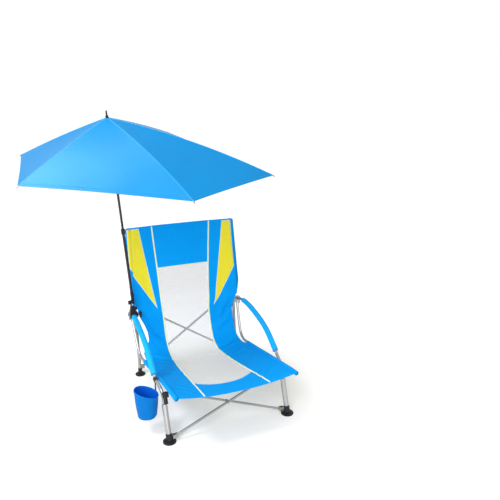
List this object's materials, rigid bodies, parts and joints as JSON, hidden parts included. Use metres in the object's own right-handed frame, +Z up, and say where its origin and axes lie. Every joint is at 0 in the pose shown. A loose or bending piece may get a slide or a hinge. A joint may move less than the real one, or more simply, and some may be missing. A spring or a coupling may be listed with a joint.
{
  "type": "beach chair with clip-on umbrella",
  "caption": "Low folding beach chair with a fabric sling, foam arm grips, a hanging cup pouch and a tilting sun umbrella clamped to one arm.",
  "frame": {"origin": "centre of the bounding box on the ground", "axes": "+Z up, -Y towards the front of the seat, +X to the right of someone looking at the front of the chair"},
  "size_m": [0.9978, 0.7832, 1.2692],
  "materials": {
    "aluminium_tube": "satin",
    "steel": "satin",
    "black_plastic": "matte",
    "black_pole": "semi-gloss",
    "foam": "closed-cell foam",
    "sling_fabric": "woven",
    "canopy_fabric": "coated woven",
    "pouch_fabric": "woven"
  },
  "bodies": {
    "left_frame": {"left_back_post": "aluminium_tube", "left_rear_foot": "black_plastic", "left_front_leg": "aluminium_tube", "left_front_foot": "black_plastic", "left_pivot_bolt": "steel", "left_front_bracket": "steel", "left_rear_bracket": "steel", "left_rear_hub": "black_plastic", "sling_back": "sling_fabric"},
    "left_arm_frame": {"left_arm_tube": "aluminium_tube", "left_arm_grip": "foam", "left_seat_rail": "aluminium_tube", "left_knuckle": "aluminium_tube", "left_front_hub": "black_plastic", "sling_seat": "sling_fabric", "cup_pouch": "pouch_fabric", "cup_strap": "black_plastic", "clamp_body": "black_plastic"},
    "brace_front_a": {"front_brace_a": "aluminium_tube", "front_cross_rivet": "steel"},
    "brace_front_b": {"front_brace_b": "aluminium_tube"},
    "right_frame": {"right_back_post": "aluminium_tube", "right_rear_foot": "black_plastic", "right_front_leg": "aluminium_tube", "right_front_foot": "black_plastic", "right_pivot_bolt": "steel", "right_front_bracket": "steel", "right_rear_bracket": "steel", "right_rear_hub": "black_plastic"},
    "right_arm_frame": {"right_arm_tube": "aluminium_tube", "right_arm_grip": "foam", "right_seat_rail": "aluminium_tube", "right_knuckle": "aluminium_tube", "right_front_hub": "black_plastic"},
    "brace_rear_a": {"rear_brace_a": "aluminium_tube", "rear_cross_rivet": "steel"},
    "brace_rear_b": {"rear_brace_b": "aluminium_tube"},
    "jaw": {"clamp_jaw": "black_plastic"},
    "clamp_screw": {"clamp_knob": "black_plastic"},
    "tilt_screw": {"tilt_knob": "black_plastic"},
    "mast_lower": {"tilt_socket": "black_plastic", "outer_pole": "black_pole"},
    "button": {"lock_button": "black_plastic"},
    "mast_upper": {"inner_pole": "black_pole", "crown": "black_plastic", "finial": "black_plastic", "canopy": "canopy_fabric"},
    "runner_body": {"runner": "black_plastic"},
    "rib_body_1": {"rib_1": "steel"},
    "stretcher_body_1": {"stretcher_1": "steel"},
    "rib_body_2": {"rib_2": "steel"},
    "stretcher_body_2": {"stretcher_2": "steel"},
    "rib_body_3": {"rib_3": "steel"},
    "stretcher_body_3": {"stretcher_3": "steel"},
    "rib_body_4": {"rib_4": "steel"},
    "stretcher_body_4": {"stretcher_4": "steel"},
    "rib_body_5": {"rib_5": "steel"},
    "stretcher_body_5": {"stretcher_5": "steel"},
    "rib_body_6": {"rib_6": "steel"},
    "stretcher_body_6": {"stretcher_6": "steel"}
  },
  "joints": [
    {"name": "fold", "type": "hinge", "parent": "left_frame", "child": "brace_front_a", "pos_m": [-0.02273, -0.29518, 0.022], "axis": [0, -1, 0], "range_deg": [0, 53.86], "deforming": ["sling_back", "sling_seat"]},
    {"name": "front_cross", "type": "hinge", "parent": "brace_front_a", "child": "brace_front_b", "pos_m": [0.21127, -0.2598, 0.1], "axis": [0, -1, 0], "range_deg": [-108.73, 1]},
    {"name": "right_side", "type": "hinge", "parent": "brace_front_b", "child": "right_frame", "pos_m": [0.44527, -0.28448, 0.022], "axis": [0, -1, 0], "range_deg": [-1, 54.86]},
    {"name": "left_arm_lift", "type": "hinge", "parent": "left_frame", "child": "left_arm_frame", "pos_m": [-0.03873, 0.31662, 0.306], "axis": [-1, 0, 0], "range_deg": [-1, 33.54]},
    {"name": "right_arm_lift", "type": "hinge", "parent": "right_frame", "child": "right_arm_frame", "pos_m": [0.46127, 0.31662, 0.306], "axis": [-1, 0, 0], "range_deg": [-1, 33.54]},
    {"name": "rear_fold", "type": "hinge", "parent": "left_frame", "child": "brace_rear_a", "pos_m": [-0.02273, 0.30391, 0.02784], "axis": [0, -0.9935, 0.1137], "range_deg": [-1, 42.26]},
    {"name": "rear_cross", "type": "hinge", "parent": "brace_rear_a", "child": "brace_rear_b", "pos_m": [0.21127, 0.32662, 0.17923], "axis": [0, -0.9935, 0.1137], "range_deg": [-83.52, 1]},
    {"name": "clamp_grip", "type": "slide", "parent": "left_arm_frame", "child": "jaw", "axis": [1, 0, 0], "range_m": [0, 0.006]},
    {"name": "clamp_turn", "type": "hinge", "parent": "jaw", "child": "clamp_screw", "pos_m": [-0.04806, 0.27342, 0.31853], "axis": [1, 0, 0], "range_deg": [-10, 1090]},
    {"name": "tilt_lock", "type": "hinge", "parent": "left_arm_frame", "child": "tilt_screw", "pos_m": [-0.05373, 0.27342, 0.384], "axis": [1, 0, 0], "range_deg": [0, 180]},
    {"name": "umbrella_tilt", "type": "hinge", "parent": "left_arm_frame", "child": "mast_lower", "pos_m": [-0.05373, 0.27342, 0.384], "axis": [1, 0, 0], "range_deg": [-25, 25]},
    {"name": "pole_extend", "type": "slide", "parent": "mast_lower", "child": "mast_upper", "axis": [-0.1115, -0.2924, 0.9498], "range_m": [-0.065, 0]},
    {"name": "button_press", "type": "slide", "parent": "mast_lower", "child": "button", "axis": [0.4671, 0.8282, 0.3098], "range_m": [0, 0.0016], "stiffness_N_per_m": 400, "springref_m": -0.0005},
    {"name": "canopy_close", "type": "slide", "parent": "mast_upper", "child": "runner_body", "axis": [-0.1115, -0.2924, 0.9498], "range_m": [-0.225, 0], "deforming": ["canopy"]},
    {"name": "rib_turn_1", "type": "hinge", "parent": "mast_upper", "child": "rib_body_1", "pos_m": [-0.16109, 0.01752, 1.22863], "axis": [-0.4234, -0.8507, -0.3116], "range_deg": [-1, 66.82]},
    {"name": "stretcher_turn_1", "type": "hinge", "parent": "rib_body_1", "child": "stretcher_body_1", "pos_m": [-0.31472, 0.1199, 1.15788], "axis": [-0.4234, -0.8507, -0.3116], "range_deg": [-129.12, 1]},
    {"name": "rib_turn_2", "type": "hinge", "parent": "mast_upper", "child": "rib_body_2", "pos_m": [-0.1616, 0.01134, 1.22666], "axis": [0.2772, -0.927, -0.2528], "range_deg": [-1, 67.34]},
    {"name": "stretcher_turn_2", "type": "hinge", "parent": "rib_body_2", "child": "stretcher_body_2", "pos_m": [-0.32538, -0.00834, 1.11929], "axis": [0.2772, -0.927, -0.2528], "range_deg": [-129.14, 1]},
    {"name": "rib_turn_3", "type": "hinge", "parent": "mast_upper", "child": "rib_body_3", "pos_m": [-0.14903, 0.00537, 1.2263], "axis": [0.904, 0.3671, 0.2191], "range_deg": [-1, 71.96]},
    {"name": "stretcher_turn_3", "type": "hinge", "parent": "rib_body_3", "child": "stretcher_body_3", "pos_m": [-0.06827, -0.13516, 1.12855], "axis": [0.904, 0.3671, 0.2191], "range_deg": [-129.45, 1]},
    {"name": "rib_turn_4", "type": "hinge", "parent": "mast_upper", "child": "rib_body_4", "pos_m": [-0.1452, 0.0084, 1.22768], "axis": [0.5483, 0.779, 0.3042], "range_deg": [-1, 76.62]},
    {"name": "stretcher_turn_4", "type": "hinge", "parent": "rib_body_4", "child": "stretcher_body_4", "pos_m": [0.00609, -0.07661, 1.1727], "axis": [0.5483, 0.779, 0.3042], "range_deg": [-130.07, 1]},
    {"name": "rib_turn_5", "type": "hinge", "parent": "mast_upper", "child": "rib_body_5", "pos_m": [-0.14513, 0.01799, 1.23064], "axis": [-0.5362, 0.8224, 0.1902], "range_deg": [-1, 63.33]},
    {"name": "stretcher_turn_5", "type": "hinge", "parent": "rib_body_5", "child": "stretcher_body_5", "pos_m": [0.01665, 0.13362, 1.1867], "axis": [-0.5362, 0.8224, 0.1902], "range_deg": [-129.15, 1]},
    {"name": "rib_turn_6", "type": "hinge", "parent": "mast_upper", "child": "rib_body_6", "pos_m": [-0.15367, 0.02228, 1.23097], "axis": [-0.9895, -0.0555, -0.1332], "range_deg": [-1, 65.25]},
    {"name": "stretcher_turn_6", "type": "hinge", "parent": "rib_body_6", "child": "stretcher_body_6", "pos_m": [-0.16066, 0.22017, 1.20048], "axis": [-0.9895, -0.0555, -0.1332], "range_deg": [-129.11, 1]}
  ],
  "couplings": [
    {"joint": "front_cross", "follows": "fold", "ratio": -2},
    {"joint": "right_side", "follows": "fold", "ratio": 1},
    {"joint": "left_arm_lift", "follows": "fold", "ratio": 0.60406},
    {"joint": "right_arm_lift", "follows": "fold", "ratio": 0.60406},
    {"joint": "rear_fold", "follows": "fold", "ratio": 0.76605},
    {"joint": "rear_cross", "follows": "fold", "ratio": -1.5321},
    {"joint": "clamp_turn", "follows": "clamp_grip", "rad_per_m": 3141.6},
    {"joint": "rib_turn_1", "follows": "canopy_close", "rad_per_m": -5.1053},
    {"joint": "stretcher_turn_1", "follows": "canopy_close", "rad_per_m": 9.9385},
    {"joint": "rib_turn_2", "follows": "canopy_close", "rad_per_m": -5.1464},
    {"joint": "stretcher_turn_2", "follows": "canopy_close", "rad_per_m": 9.9396},
    {"joint": "rib_turn_3", "follows": "canopy_close", "rad_per_m": -5.5044},
    {"joint": "stretcher_turn_3", "follows": "canopy_close", "rad_per_m": 9.9636},
    {"joint": "rib_turn_4", "follows": "canopy_close", "rad_per_m": -5.866},
    {"joint": "stretcher_turn_4", "follows": "canopy_close", "rad_per_m": 10.012},
    {"joint": "rib_turn_5", "follows": "canopy_close", "rad_per_m": -4.8349},
    {"joint": "stretcher_turn_5", "follows": "canopy_close", "rad_per_m": 9.9403},
    {"joint": "rib_turn_6", "follows": "canopy_close", "rad_per_m": -4.9842},
    {"joint": "stretcher_turn_6", "follows": "canopy_close", "rad_per_m": 9.9373}
  ]
}
